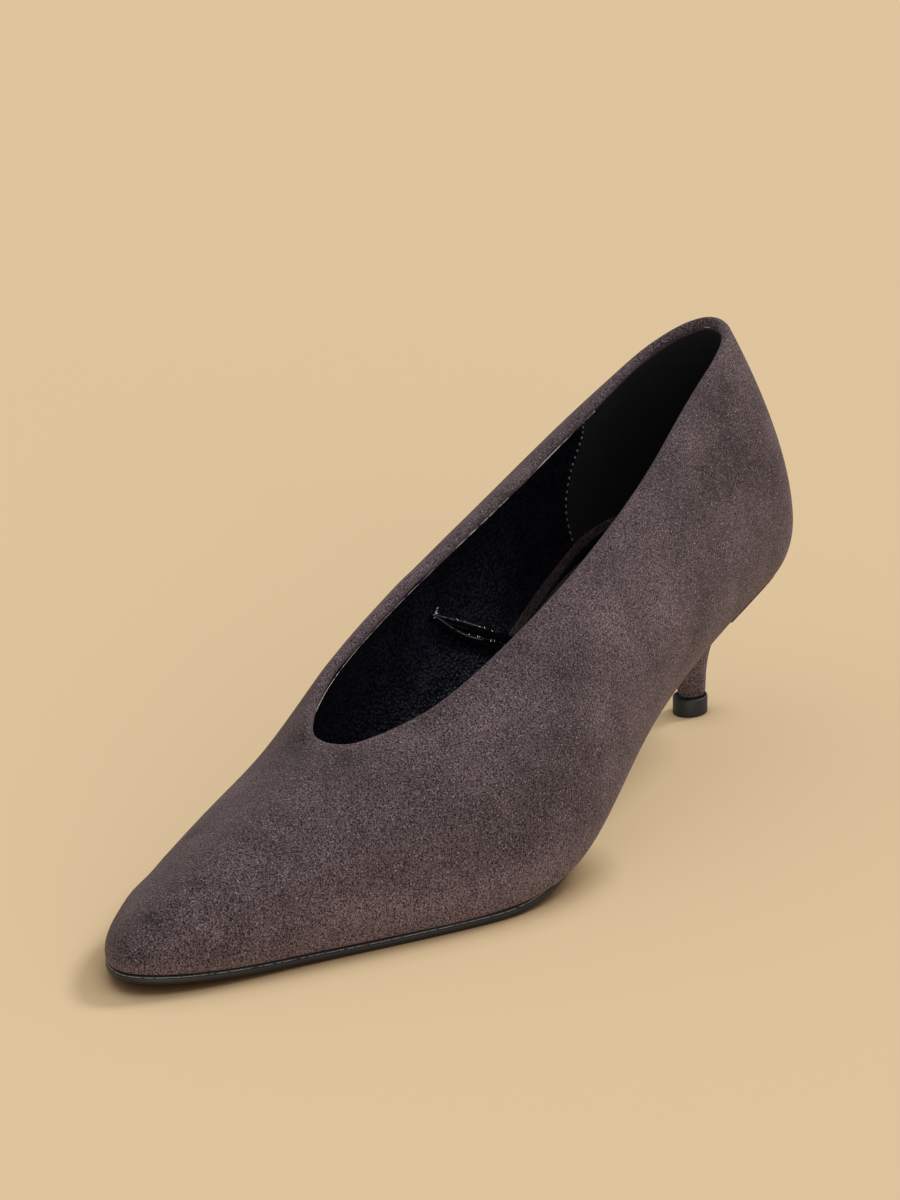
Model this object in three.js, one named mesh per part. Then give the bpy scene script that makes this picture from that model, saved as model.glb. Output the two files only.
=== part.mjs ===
// Kitten heel pump, left foot, in millimetres, standing on its sole with +Z up.
// The toe points to -Y and the heel to +Y. The outer side of the foot is +X and the inner side -X.
// Five pieces are put together: upper, insole, outsole, heel and top piece.
import * as THREE from "three";

// Sizes of the shoe
// SOLE_LENGTH runs along the seam of upper and sole, from the back of the heel to the tip of the toe.
const SOLE_LENGTH = 250;
const BALL_WIDTH = 80;
const BACK_HEIGHT = 106;
const SEAT_RISE = 40.4;
const TOE_SWING = 13.9;
const SEAM_GAP = 0.3;

// Sizes of the pieces
const UPPER_WALL = 1.8;
const COLLAR_WALL = 2.8;
const FOOT_LINE_UPRIGHT = 11;
const SOLE_THICKNESS = 2.2;
const SOLE_EDGE_STEP = 0.4;
const SOLE_BEVEL = 0.6;
const SOLE_PROUD = 0.2;
const SOLE_WAIST_INSET = 2.4;
const INSOLE_THICKNESS = 2.2;
const INSOLE_EDGE_ROUND = 0.5;
const HEEL_BREAST_ALONG = 46;
const HEEL_BREAST_ROUND = 0.6;
const TOP_PIECE_THICKNESS = 4.8;
const TOP_PIECE_BEVEL = 0.4;

// Fineness of the faceted surfaces
const ROUND_STEPS = 84;
const OUTER_STEPS = 14;
const INNER_STEPS = 11;
const RIM_STEPS = 4;
const BREAST_STEPS = 6;

// Share of the length at which the toe starts to swing inwards, and how fast the swing grows
const SWING_START = 0.496;
const SWING_POWER = 1.6;
// Shares of the length between which the sole draws in under the waist
const WAIST_START = 0.662;
const WAIST_FULL = 0.53;
// Share of the wall's height over which its inner face turns from upright to parallel
const FOOT_TURN = 0.14;
// Share of the wall's height over which the wall thickens to the collar
const COLLAR_TURN = 0.16;

// The wall round the shoe, one row for each upright line on it.
// footAlong and rimAlong are shares of the sole's length, from the heel.
// footSide, rimSide, footLean and rimLean are shares of the ball's width.
// rimHeight and rimDrop are shares of the back's height.
const BACK_ROW = {
  footAlong: 0, footSide: 0, rimAlong: 0.044, rimSide: 0, rimHeight: 1,
  footLean: 0.105, rimLean: 0.125, rimDrop: 0.196,
};
const TIP_ROW = {
  footAlong: 1, footSide: 0, rimAlong: 0.725, rimSide: 0, rimHeight: 0.397,
  footLean: 0.064, rimLean: 0.44, rimDrop: 0.098,
};
const OUTER_ROWS = [
  { footAlong: 0.024, footSide: 0.205, rimAlong: 0.068, rimSide: 0.119, rimHeight: 0.992,
    footLean: 0.104, rimLean: 0.169, rimDrop: 0.238 },
  { footAlong: 0.112, footSide: 0.325, rimAlong: 0.159, rimSide: 0.193, rimHeight: 0.917,
    footLean: 0.097, rimLean: 0.177, rimDrop: 0.254 },
  { footAlong: 0.24, footSide: 0.361, rimAlong: 0.275, rimSide: 0.252, rimHeight: 0.805,
    footLean: 0.1, rimLean: 0.19, rimDrop: 0.244 },
  { footAlong: 0.384, footSide: 0.401, rimAlong: 0.393, rimSide: 0.287, rimHeight: 0.699,
    footLean: 0.098, rimLean: 0.205, rimDrop: 0.214 },
  { footAlong: 0.52, footSide: 0.497, rimAlong: 0.519, rimSide: 0.296, rimHeight: 0.6,
    footLean: 0.075, rimLean: 0.208, rimDrop: 0.174 },
  { footAlong: 0.63, footSide: 0.512, rimAlong: 0.624, rimSide: 0.256, rimHeight: 0.497,
    footLean: 0.051, rimLean: 0.211, rimDrop: 0.125 },
  { footAlong: 0.76, footSide: 0.372, rimAlong: 0.684, rimSide: 0.179, rimHeight: 0.437,
    footLean: 0.039, rimLean: 0.261, rimDrop: 0.096 },
  { footAlong: 0.872, footSide: 0.24, rimAlong: 0.714, rimSide: 0.105, rimHeight: 0.409,
    footLean: 0.033, rimLean: 0.324, rimDrop: 0.092 },
  { footAlong: 0.96, footSide: 0.135, rimAlong: 0.723, rimSide: 0.049, rimHeight: 0.399,
    footLean: 0.039, rimLean: 0.395, rimDrop: 0.094 },
];
const INNER_ROWS = [
  { footAlong: 0.024, footSide: 0.222, rimAlong: 0.065, rimSide: 0.122, rimHeight: 0.966,
    footLean: 0.091, rimLean: 0.174, rimDrop: 0.142 },
  { footAlong: 0.112, footSide: 0.336, rimAlong: 0.154, rimSide: 0.2, rimHeight: 0.87,
    footLean: 0.079, rimLean: 0.203, rimDrop: 0.086 },
  { footAlong: 0.24, footSide: 0.304, rimAlong: 0.276, rimSide: 0.221, rimHeight: 0.764,
    footLean: 0.09, rimLean: 0.226, rimDrop: 0.071 },
  { footAlong: 0.384, footSide: 0.27, rimAlong: 0.4, rimSide: 0.235, rimHeight: 0.671,
    footLean: 0.101, rimLean: 0.222, rimDrop: 0.076 },
  { footAlong: 0.52, footSide: 0.345, rimAlong: 0.524, rimSide: 0.25, rimHeight: 0.578,
    footLean: 0.087, rimLean: 0.189, rimDrop: 0.09 },
  { footAlong: 0.64, footSide: 0.488, rimAlong: 0.631, rimSide: 0.234, rimHeight: 0.48,
    footLean: 0.041, rimLean: 0.139, rimDrop: 0.12 },
  { footAlong: 0.76, footSide: 0.471, rimAlong: 0.692, rimSide: 0.162, rimHeight: 0.426,
    footLean: 0.035, rimLean: 0.151, rimDrop: 0.135 },
  { footAlong: 0.872, footSide: 0.325, rimAlong: 0.718, rimSide: 0.09, rimHeight: 0.404,
    footLean: 0.035, rimLean: 0.239, rimDrop: 0.119 },
  { footAlong: 0.96, footSide: 0.176, rimAlong: 0.724, rimSide: 0.039, rimHeight: 0.398,
    footLean: 0.044, rimLean: 0.344, rimDrop: 0.108 },
];

// The sole's top line from the side: along is a share of the length, rise a share of the seat's rise.
// It is level between its two rows of no rise, where the ball rests on the floor.
const SOLE_LINE = [
  { along: 0, rise: 1 },
  { along: 0.08, rise: 0.98 },
  { along: 0.186, rise: 0.889 },
  { along: 0.29, rise: 0.708 },
  { along: 0.395, rise: 0.462 },
  { along: 0.5, rise: 0.206 },
  { along: 0.605, rise: 0.04 },
  { along: 0.668, rise: 0 },
  { along: 0.773, rise: 0 },
  { along: 0.867, rise: 0.014 },
  { along: 0.961, rise: 0.05 },
  { along: 1, rise: 0.076 },
];

// The heel from its seat down to its foot: drop is the share of its height.
// back and front are shares of the seat's own length, side a share of its own width,
// and oval the share by which its section has turned from the seat's outline to an oval.
const HEEL_ROWS = [
  { drop: 0, back: 0, front: 1, side: 1, oval: 0 },
  { drop: 0.04, back: 0.026, front: 0.993, side: 0.952, oval: 0.02 },
  { drop: 0.08, back: 0.052, front: 0.98, side: 0.9, oval: 0.06 },
  { drop: 0.18, back: 0.112, front: 0.917, side: 0.73, oval: 0.25 },
  { drop: 0.3, back: 0.18, front: 0.826, side: 0.52, oval: 0.5 },
  { drop: 0.43, back: 0.25, front: 0.735, side: 0.345, oval: 0.75 },
  { drop: 0.56, back: 0.306, front: 0.667, side: 0.235, oval: 0.9 },
  { drop: 0.7, back: 0.341, front: 0.611, side: 0.17, oval: 1 },
  { drop: 0.85, back: 0.356, front: 0.565, side: 0.135, oval: 1 },
  { drop: 1, back: 0.359, front: 0.541, side: 0.122, oval: 1 },
];
const TOP_PIECE_ROW = { back: 0.354, front: 0.578, side: 0.157, oval: 1 };

// A cubic curve through values at rising knots, with slopes that never overshoot
function calmCurve(knots, values) {
  const spans = knots.slice(1).map((knot, i) => (values[i + 1] - values[i]) / (knot - knots[i]));
  const slopes = knots.map((knot, i) => {
    const before = spans[i - 1] ?? spans[i];
    const after = spans[i] ?? spans[i - 1];
    if (before * after <= 0) {
      return 0;
    }
    return (2 * before * after) / (before + after);
  });
  return (at) => {
    const place = THREE.MathUtils.clamp(at, knots[0], knots[knots.length - 1]);
    let i = 0;
    while (i < knots.length - 2 && place > knots[i + 1]) {
      i += 1;
    }
    const step = knots[i + 1] - knots[i];
    const t = (place - knots[i]) / step;
    const lead = values[i] * (1 + 2 * t) + slopes[i] * step * t;
    const trail = values[i + 1] * (3 - 2 * t) - slopes[i + 1] * step * (1 - t);
    return lead * (1 - t) ** 2 + trail * t ** 2;
  };
}

// A closed smooth curve through points at rising knots from 0, which meets itself at knot 1
function closedCurve(knots, points) {
  const count = points.length;
  const next = (i) => (i + 1) % count;
  const last = (i) => (i + count - 1) % count;
  const steps = knots.map((knot, i) => (i === count - 1 ? 1 : knots[i + 1]) - knot);
  const bends = points.map(() => new THREE.Vector3());
  const pulls = points.map((point, i) => {
    const after = points[next(i)].clone().sub(point).divideScalar(steps[i]);
    const before = point.clone().sub(points[last(i)]).divideScalar(steps[last(i)]);
    return after.sub(before).multiplyScalar(6);
  });
  const SETTLING_ROUNDS = 60;
  for (let round = 0; round < SETTLING_ROUNDS; round += 1) {
    bends.forEach((bend, i) => {
      const rest = pulls[i].clone();
      rest.addScaledVector(bends[last(i)], -steps[last(i)]);
      rest.addScaledVector(bends[next(i)], -steps[i]);
      bend.copy(rest.divideScalar(2 * (steps[last(i)] + steps[i])));
    });
  }
  return (at) => {
    const place = at - Math.floor(at);
    let i = 0;
    while (i < count - 1 && place >= knots[i + 1]) {
      i += 1;
    }
    const step = steps[i];
    const b = (place - knots[i]) / step;
    const a = 1 - b;
    const sum = points[i].clone().multiplyScalar(a);
    sum.addScaledVector(points[next(i)], b);
    sum.addScaledVector(bends[i], ((a ** 3 - a) * step ** 2) / 6);
    sum.addScaledVector(bends[next(i)], ((b ** 3 - b) * step ** 2) / 6);
    return sum;
  };
}

// Height of the sole's top over the floor, at a distance from the heel
const soleRise = calmCurve(
  SOLE_LINE.map((row) => row.along * SOLE_LENGTH),
  SOLE_LINE.map((row) => row.rise * SEAT_RISE),
);
function soleTop(along) {
  return SOLE_THICKNESS + soleRise(along);
}

// How far the middle line lies to the inner side at a distance from the heel
function swing(along) {
  const share = (along / SOLE_LENGTH - SWING_START) / (1 - SWING_START);
  return -TOE_SWING * Math.max(share, 0) ** SWING_POWER;
}

// Sideways unit vector that points out of a closed curve
function outwards(curve, at) {
  const REACH = 0.0005;
  const run = curve(at + REACH).sub(curve(at - REACH));
  return new THREE.Vector3(-run.y, run.x, 0).normalize();
}

// The closed curves that carry the wall: foot, its handle, the rim's handle and the rim
function wallCurves() {
  const outer = OUTER_ROWS.map((row) => ({ ...row, hand: 1 }));
  const inner = INNER_ROWS.map((row) => ({ ...row, hand: -1 })).reverse();
  const rows = [{ ...BACK_ROW, hand: 1 }, ...outer, { ...TIP_ROW, hand: 1 }, ...inner];
  const feet = rows.map((row) => {
    const along = row.footAlong * SOLE_LENGTH;
    const side = row.hand * row.footSide * BALL_WIDTH;
    return new THREE.Vector3(side + swing(along), -along, soleTop(along) + SEAM_GAP);
  });
  const rims = rows.map((row) => {
    const along = row.rimAlong * SOLE_LENGTH;
    const side = row.hand * row.rimSide * BALL_WIDTH;
    return new THREE.Vector3(side + swing(along), -along, row.rimHeight * BACK_HEIGHT);
  });
  const RIM_WEIGHT = 0.6;
  const knots = [0];
  rows.forEach((row, i) => {
    const j = (i + 1) % rows.length;
    const chord = feet[i].distanceTo(feet[j]) + RIM_WEIGHT * rims[i].distanceTo(rims[j]);
    knots.push(knots[i] + chord);
  });
  const whole = knots.pop();
  const places = knots.map((knot) => knot / whole);
  const foot = closedCurve(places, feet);
  const rim = closedCurve(places, rims);
  const low = closedCurve(places, feet.map((point, i) => {
    const lean = outwards(foot, places[i]).multiplyScalar(rows[i].footLean * BALL_WIDTH);
    return point.clone().add(lean).add(new THREE.Vector3(0, 0, FOOT_LINE_UPRIGHT));
  }));
  const high = closedCurve(places, rims.map((point, i) => {
    const lean = outwards(rim, places[i]).multiplyScalar(rows[i].rimLean * BALL_WIDTH);
    return point.clone().add(lean).sub(new THREE.Vector3(0, 0, rows[i].rimDrop * BACK_HEIGHT));
  }));
  return { foot, low, high, rim };
}
const WALL = wallCurves();

// A point of the upper's outer face: round from the heel by the outer side, up from foot to rim
function wallPoint(round, up) {
  const down = 1 - up;
  const point = WALL.foot(round).multiplyScalar(down ** 3);
  point.addScaledVector(WALL.low(round), 3 * down ** 2 * up);
  point.addScaledVector(WALL.high(round), 3 * down * up ** 2);
  return point.addScaledVector(WALL.rim(round), up ** 3);
}

// Unit vector up along the outer face
function wallUp(round, up) {
  const REACH = 0.002;
  const above = wallPoint(round, Math.min(up + REACH, 1));
  return above.sub(wallPoint(round, Math.max(up - REACH, 0))).normalize();
}

// Unit vector square to the outer face, which is level at the foot
function wallOut(round, up) {
  const REACH = 0.0005;
  const run = wallPoint(round + REACH, up).sub(wallPoint(round - REACH, up));
  const square = wallUp(round, up).cross(run).normalize();
  const turn = THREE.MathUtils.smoothstep(up, 0, FOOT_TURN);
  return outwards(WALL.foot, round).lerp(square, turn).normalize();
}

function wallThickness(up) {
  const turn = THREE.MathUtils.smoothstep(up, 1 - COLLAR_TURN, 1);
  return THREE.MathUtils.lerp(UPPER_WALL, COLLAR_WALL, turn);
}

function rounds() {
  return Array.from({ length: ROUND_STEPS }, (unused, i) => i / ROUND_STEPS);
}

// Makes one closed mesh from rings of equal length, each joined to the next and the last to the first
function meshFromRings(rings, closesUp) {
  const places = rings.flat().flatMap((point) => [point.x, point.y, point.z]);
  const count = rings[0].length;
  const faces = [];
  const seams = closesUp ? rings.length : rings.length - 1;
  for (let ring = 0; ring < seams; ring += 1) {
    const here = ring * count;
    const there = ((ring + 1) % rings.length) * count;
    for (let i = 0; i < count; i += 1) {
      const j = (i + 1) % count;
      faces.push(here + i, there + j, here + j);
      faces.push(here + i, there + i, there + j);
    }
  }
  return { places, faces };
}

function solid(name, shape, material) {
  const geometry = new THREE.BufferGeometry();
  geometry.setAttribute("position", new THREE.Float32BufferAttribute(shape.places, 3));
  geometry.setIndex(shape.faces);
  const mesh = new THREE.Mesh(geometry, material);
  mesh.name = name;
  return mesh;
}

// Triangles over a ring that closes a plate, stepping down its two sides by distance from the heel
function coverRing(ring, first, faceUp) {
  const count = ring.length;
  const tip = ring.reduce((best, point, i) => (point.y < ring[best].y ? i : best), 0);
  const back = ring.reduce((best, point, i) => (point.y > ring[best].y ? i : best), 0);
  const faces = [];
  let left = back;
  let right = back;
  const add = (a, b, c) => {
    faces.push(first + a, first + (faceUp ? b : c), first + (faceUp ? c : b));
  };
  while (left !== tip || right !== tip) {
    const leftNext = (left + 1) % count;
    const rightNext = (right + count - 1) % count;
    const stepLeft = right === tip || (left !== tip && ring[leftNext].y >= ring[rightNext].y);
    const corner = stepLeft ? leftNext : rightNext;
    if (left !== right && corner !== left && corner !== right) {
      add(left, right, corner);
    }
    if (stepLeft) {
      left = leftNext;
    } else {
      right = rightNext;
    }
  }
  return faces;
}

// A plate from rings that run from its upper edge down its side to its lower edge
function plate(rings) {
  const shape = meshFromRings(rings, false);
  const lowest = (rings.length - 1) * rings[0].length;
  const top = coverRing(rings[0], 0, true);
  const bottom = coverRing(rings[rings.length - 1], lowest, false);
  const side = [];
  for (let i = 0; i < shape.faces.length; i += 3) {
    side.push(shape.faces[i], shape.faces[i + 2], shape.faces[i + 1]);
  }
  return { places: shape.places, faces: [...side, ...top, ...bottom] };
}

// The upper's hollow wall, open at the rim and underneath
function makeUpper(material) {
  const rings = [];
  for (let step = 0; step <= OUTER_STEPS; step += 1) {
    rings.push(rounds().map((round) => wallPoint(round, step / OUTER_STEPS)));
  }
  for (let step = 1; step < RIM_STEPS; step += 1) {
    const angle = (Math.PI * step) / RIM_STEPS;
    rings.push(rounds().map((round) => {
      const out = wallOut(round, 1);
      const middle = wallPoint(round, 1).addScaledVector(out, -COLLAR_WALL / 2);
      middle.addScaledVector(out, (Math.cos(angle) * COLLAR_WALL) / 2);
      return middle.addScaledVector(wallUp(round, 1), (Math.sin(angle) * COLLAR_WALL) / 2);
    }));
  }
  for (let step = INNER_STEPS; step >= 0; step -= 1) {
    const up = step / INNER_STEPS;
    rings.push(rounds().map((round) => {
      const out = wallOut(round, up);
      return wallPoint(round, up).addScaledVector(out, -wallThickness(up));
    }));
  }
  return solid("upper", meshFromRings(rings, true), material);
}

// Foot line moved inwards, by an inset that can change along the shoe, at a height over the sole's top
function footRing(inset, height, waistInset = 0) {
  return rounds().map((round) => {
    const point = WALL.foot(round);
    const waist = THREE.MathUtils.smoothstep(point.y / SOLE_LENGTH, -WAIST_START, -WAIST_FULL);
    point.addScaledVector(outwards(WALL.foot, round), -(inset + waist * waistInset));
    point.z = soleTop(-point.y) + height;
    return point;
  });
}

// The insole lies inside the foot of the wall
function makeInsole(material) {
  const edge = UPPER_WALL + SEAM_GAP;
  const top = SEAM_GAP + INSOLE_THICKNESS;
  const rings = [
    footRing(edge + INSOLE_EDGE_ROUND, top),
    footRing(edge, top - INSOLE_EDGE_ROUND),
    footRing(edge, SEAM_GAP),
  ];
  return solid("insole", plate(rings), material);
}

// Cuts a ring at a line across the shoe, at the places where its guide ring is cut,
// so that rings with one guide keep one count
function cutRing(guide, ring, line, keepFront) {
  const inside = (point) => (keepFront ? -point.y > line : -point.y < line);
  const kept = [];
  guide.forEach((point, i) => {
    const j = (i + 1) % guide.length;
    if (inside(point)) {
      kept.push(ring[i].clone());
    }
    if (inside(point) !== inside(guide[j])) {
      const share = (-line - point.y) / (guide[j].y - point.y);
      const end = ring[i].clone().lerp(ring[j], share);
      end.y = -line;
      kept.push(end);
    }
  });
  return kept;
}

// The outsole runs from the heel's breast to the toe
function makeOutsole(material) {
  const line = HEEL_BREAST_ALONG + HEEL_BREAST_ROUND + SEAM_GAP;
  const levels = [
    { inset: SOLE_EDGE_STEP, drop: 0 },
    { inset: SOLE_EDGE_STEP, drop: SOLE_EDGE_STEP },
    { inset: -SOLE_PROUD, drop: SOLE_EDGE_STEP },
    { inset: -SOLE_PROUD, drop: SOLE_THICKNESS - SOLE_BEVEL },
    { inset: SOLE_BEVEL - SOLE_PROUD, drop: SOLE_THICKNESS },
  ];
  const outline = footRing(0, 0);
  const rings = levels.map((level) => {
    const ring = footRing(level.inset, 0, SOLE_WAIST_INSET);
    const cut = cutRing(outline, ring, line, true);
    cut.forEach((point) => {
      point.z = soleTop(-point.y) - level.drop;
    });
    return cut;
  });
  return solid("outsole", plate(rings), material);
}

// The seat's outline under the heel end of the upper, with its slightly rounded breast
function seatOutline() {
  const ring = footRing(0, 0);
  const cut = cutRing(ring, ring, HEEL_BREAST_ALONG, false);
  const start = cut.findIndex((point, i) => point.y === cut[(i + cut.length - 1) % cut.length].y);
  const outline = [...cut.slice(start), ...cut.slice(0, start)];
  const first = outline[0];
  const last = outline[outline.length - 1];
  for (let step = 1; step < BREAST_STEPS; step += 1) {
    const share = step / BREAST_STEPS;
    const point = last.clone().lerp(first, share);
    point.y -= HEEL_BREAST_ROUND * Math.sin(Math.PI * share);
    outline.push(point);
  }
  return outline;
}

// One ring of the heel or top piece: the seat's outline narrowed to a row, at heights by a function
function heelRing(outline, row, inset, height) {
  const seatBack = -Math.max(...outline.map((point) => point.y));
  const seatLength = HEEL_BREAST_ALONG - seatBack;
  const seatHalf = Math.max(...outline.map((point) => point.x));
  const back = seatBack + row.back * seatLength + inset;
  const front = seatBack + row.front * seatLength - inset;
  const narrow = row.side - inset / seatHalf;
  return outline.map((point) => {
    const share = (-point.y - seatBack) / seatLength;
    const flatPoint = new THREE.Vector3(point.x * narrow, -(back + share * (front - back)), 0);
    const angle = Math.atan2(point.x / seatHalf, 2 * share - 1);
    const ovalAlong = (back + front + Math.cos(angle) * (front - back)) / 2;
    const ovalPoint = new THREE.Vector3(Math.sin(angle) * narrow * seatHalf, -ovalAlong, 0);
    return flatPoint.lerp(ovalPoint, row.oval).setZ(height(point));
  });
}

// The heel narrows from the seat to its foot over the top piece
function makeHeel(material) {
  const outline = seatOutline();
  const foot = TOP_PIECE_THICKNESS + SEAM_GAP;
  const rings = HEEL_ROWS.map((row) => heelRing(
    outline,
    row,
    0,
    (point) => THREE.MathUtils.lerp(soleTop(-point.y), foot, row.drop),
  ));
  return solid("heel", plate(rings), material);
}

// The top piece is the heel's wearing pad on the floor
function makeTopPiece(material) {
  const outline = seatOutline();
  const rings = [
    heelRing(outline, TOP_PIECE_ROW, 0, () => TOP_PIECE_THICKNESS),
    heelRing(outline, TOP_PIECE_ROW, 0, () => TOP_PIECE_BEVEL),
    heelRing(outline, TOP_PIECE_ROW, TOP_PIECE_BEVEL, () => 0),
  ];
  return solid("top_piece", plate(rings), material);
}

function suede() {
  return new THREE.MeshStandardMaterial({ color: 0x5d5250, roughness: 0.95, metalness: 0 });
}

function footbedSuede() {
  return new THREE.MeshStandardMaterial({ color: 0x4a403d, roughness: 0.95, metalness: 0 });
}

function soleRubber() {
  return new THREE.MeshStandardMaterial({ color: 0x161618, roughness: 0.45, metalness: 0 });
}

function topPieceRubber() {
  return new THREE.MeshStandardMaterial({ color: 0x1d1e20, roughness: 0.6, metalness: 0 });
}

// Puts the origin on the floor under the middle of the whole shoe
function centre(pieces) {
  const box = new THREE.Box3();
  pieces.forEach((piece) => box.expandByObject(piece));
  const middle = box.getCenter(new THREE.Vector3());
  pieces.forEach((piece) => piece.geometry.translate(-middle.x, -middle.y, -box.min.z));
}

const shoe = new THREE.Group();
shoe.name = "kitten_heel_pump";
shoe.add(makeUpper(suede()));
shoe.add(makeInsole(footbedSuede()));
shoe.add(makeOutsole(soleRubber()));
shoe.add(makeHeel(suede()));
shoe.add(makeTopPiece(topPieceRubber()));
centre(shoe.children);

export default shoe;
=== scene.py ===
"""Looks of the kitten heel pump: suede upper, leather lining, footbed, rubber sole and covered heel."""
import math

import bpy
import numpy as np
from mathutils import Matrix, Vector


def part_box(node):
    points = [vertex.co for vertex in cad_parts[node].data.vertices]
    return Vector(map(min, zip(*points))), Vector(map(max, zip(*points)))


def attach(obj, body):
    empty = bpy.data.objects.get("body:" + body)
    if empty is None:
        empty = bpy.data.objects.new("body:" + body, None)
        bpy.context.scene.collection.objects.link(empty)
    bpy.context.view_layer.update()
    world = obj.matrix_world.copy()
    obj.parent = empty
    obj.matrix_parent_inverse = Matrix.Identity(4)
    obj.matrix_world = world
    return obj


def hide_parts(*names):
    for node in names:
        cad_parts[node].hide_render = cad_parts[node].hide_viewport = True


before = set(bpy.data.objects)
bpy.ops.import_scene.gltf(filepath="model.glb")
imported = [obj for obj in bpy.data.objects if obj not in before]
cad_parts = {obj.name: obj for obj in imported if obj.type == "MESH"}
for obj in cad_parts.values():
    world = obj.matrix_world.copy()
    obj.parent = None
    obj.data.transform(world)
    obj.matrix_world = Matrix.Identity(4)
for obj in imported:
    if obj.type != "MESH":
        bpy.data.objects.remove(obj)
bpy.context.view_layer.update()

MM = 0.001

# Sizes of the shoe in millimetres, as its solids have them
SOLE_LENGTH = 250
BALL_WIDTH = 80
BACK_HEIGHT = 106
SEAT_RISE = 40.4
TOE_SWING = 13.9
SEAM_GAP = 0.3
UPPER_WALL = 1.8
COLLAR_WALL = 2.8
FOOT_LINE_UPRIGHT = 11
SOLE_THICKNESS = 2.2
SOLE_PROUD = 0.2
SOLE_WAIST_INSET = 2.4
INSOLE_THICKNESS = 2.2
HEEL_BREAST_ALONG = 46
HEEL_BREAST_ROUND = 0.6
TOP_PIECE_THICKNESS = 4.8

# Shares that shape the wall
SWING_START = 0.496
SWING_POWER = 1.6
WAIST_START = 0.662
WAIST_FULL = 0.53
FOOT_TURN = 0.14
COLLAR_TURN = 0.16

# Layers of the wall, in millimetres
SUEDE_LAYER = 1.0
SUEDE_TUCK = 4.0
SUEDE_TUCK_THICKNESS = 0.2
FOOT_EDGE_ROUND = 0.9
RIM_BAND = 1.5
SKIN_GAP = 0.04
LAYER_GAP = 0.05
LINING_HEIGHT = 60
LINING_BEAD = 0.28
LINING_BEAD_WIDTH = 0.8
LINING_EDGE = 0.6
LINING_TOP_GAP = 0.2
GRIP_SINK = 0.4
RIM_BEAD_RISE = 0.66
SEAM_STITCH_STEP = 1.9
SEAM_STITCH_INSET = 1.25
# The inner face is about this long for one turn round the wall
AROUND_LENGTH = 560
# The grip runs on behind the leather by this share of a turn
GRIP_OVERLAP = 0.012
# The heel's top edge lies this far under the wall's foot
SEAT_INSET = 0.45
SEAT_EDGE_ROUND = 0.5
TOP_PIECE_EDGE_ROUND = 0.35
FOOTBED_CROWN = 0.5
FOOTBED_CROWN_REACH = 14
FOOTBED_EDGE_ROUND = 0.8
SOCK_INSET = 2.0
SOCK_THICKNESS = 0.45
# How far the footbed's edge turns up the wall: places from the heel, shares of the wall's height
BINDING_REACH = 0.2
BINDING_RISE = np.array([
    (0, 0.16), (0.06, 0.155), (0.085, 0.135), (0.115, 0.1), (0.172, 0.075), (0.2, 0.06)])
BINDING_WIDTH = 0.042

# The wall round the shoe, one row for each upright line on it, from the heel to the toe.
# Columns: foot along, foot side, rim along, rim side, rim height, foot lean, rim lean, rim drop.
# The alongs are shares of the sole's length, the height and drop of the back's height,
# and the rest of the ball's width.
BACK_ROW = (0, 0, 0.044, 0, 1, 0.105, 0.125, 0.196)
TIP_ROW = (1, 0, 0.725, 0, 0.397, 0.064, 0.44, 0.098)
OUTER_ROWS = [
    (0.024, 0.205, 0.068, 0.119, 0.992, 0.104, 0.169, 0.238),
    (0.112, 0.325, 0.159, 0.193, 0.917, 0.097, 0.177, 0.254),
    (0.24, 0.361, 0.275, 0.252, 0.805, 0.1, 0.19, 0.244),
    (0.384, 0.401, 0.393, 0.287, 0.699, 0.098, 0.205, 0.214),
    (0.52, 0.497, 0.519, 0.296, 0.6, 0.075, 0.208, 0.174),
    (0.63, 0.512, 0.624, 0.256, 0.497, 0.051, 0.211, 0.125),
    (0.76, 0.372, 0.684, 0.179, 0.437, 0.039, 0.261, 0.096),
    (0.872, 0.24, 0.714, 0.105, 0.409, 0.033, 0.324, 0.092),
    (0.96, 0.135, 0.723, 0.049, 0.399, 0.039, 0.395, 0.094),
]
INNER_ROWS = [
    (0.024, 0.222, 0.065, 0.122, 0.966, 0.091, 0.174, 0.142),
    (0.112, 0.336, 0.154, 0.2, 0.87, 0.079, 0.203, 0.086),
    (0.24, 0.304, 0.276, 0.221, 0.764, 0.09, 0.226, 0.071),
    (0.384, 0.27, 0.4, 0.235, 0.671, 0.101, 0.222, 0.076),
    (0.52, 0.345, 0.524, 0.25, 0.578, 0.087, 0.189, 0.09),
    (0.64, 0.488, 0.631, 0.234, 0.48, 0.041, 0.139, 0.12),
    (0.76, 0.471, 0.692, 0.162, 0.426, 0.035, 0.151, 0.135),
    (0.872, 0.325, 0.718, 0.09, 0.404, 0.035, 0.239, 0.119),
    (0.96, 0.176, 0.724, 0.039, 0.398, 0.044, 0.344, 0.108),
]
# The sole's top line: share of the length, share of the seat's rise
SOLE_LINE = np.array([
    (0, 1), (0.08, 0.98), (0.186, 0.889), (0.29, 0.708), (0.395, 0.462), (0.5, 0.206),
    (0.605, 0.04), (0.668, 0), (0.773, 0), (0.867, 0.014), (0.961, 0.05), (1, 0.076),
])
# The heel from its seat down: share of its height, then back and front as shares of the seat's
# length, side as a share of its width, and the share by which its section has turned to an oval
HEEL_ROWS = np.array([
    (0, 0, 1, 1, 0), (0.04, 0.026, 0.993, 0.952, 0.02), (0.08, 0.052, 0.98, 0.9, 0.06),
    (0.18, 0.112, 0.917, 0.73, 0.25), (0.3, 0.18, 0.826, 0.52, 0.5), (0.43, 0.25, 0.735, 0.345, 0.75),
    (0.56, 0.306, 0.667, 0.235, 0.9), (0.7, 0.341, 0.611, 0.17, 1), (0.85, 0.356, 0.565, 0.135, 1),
    (1, 0.359, 0.541, 0.122, 1),
])
TOP_PIECE_ROW = (0.354, 0.578, 0.157, 1)

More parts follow.
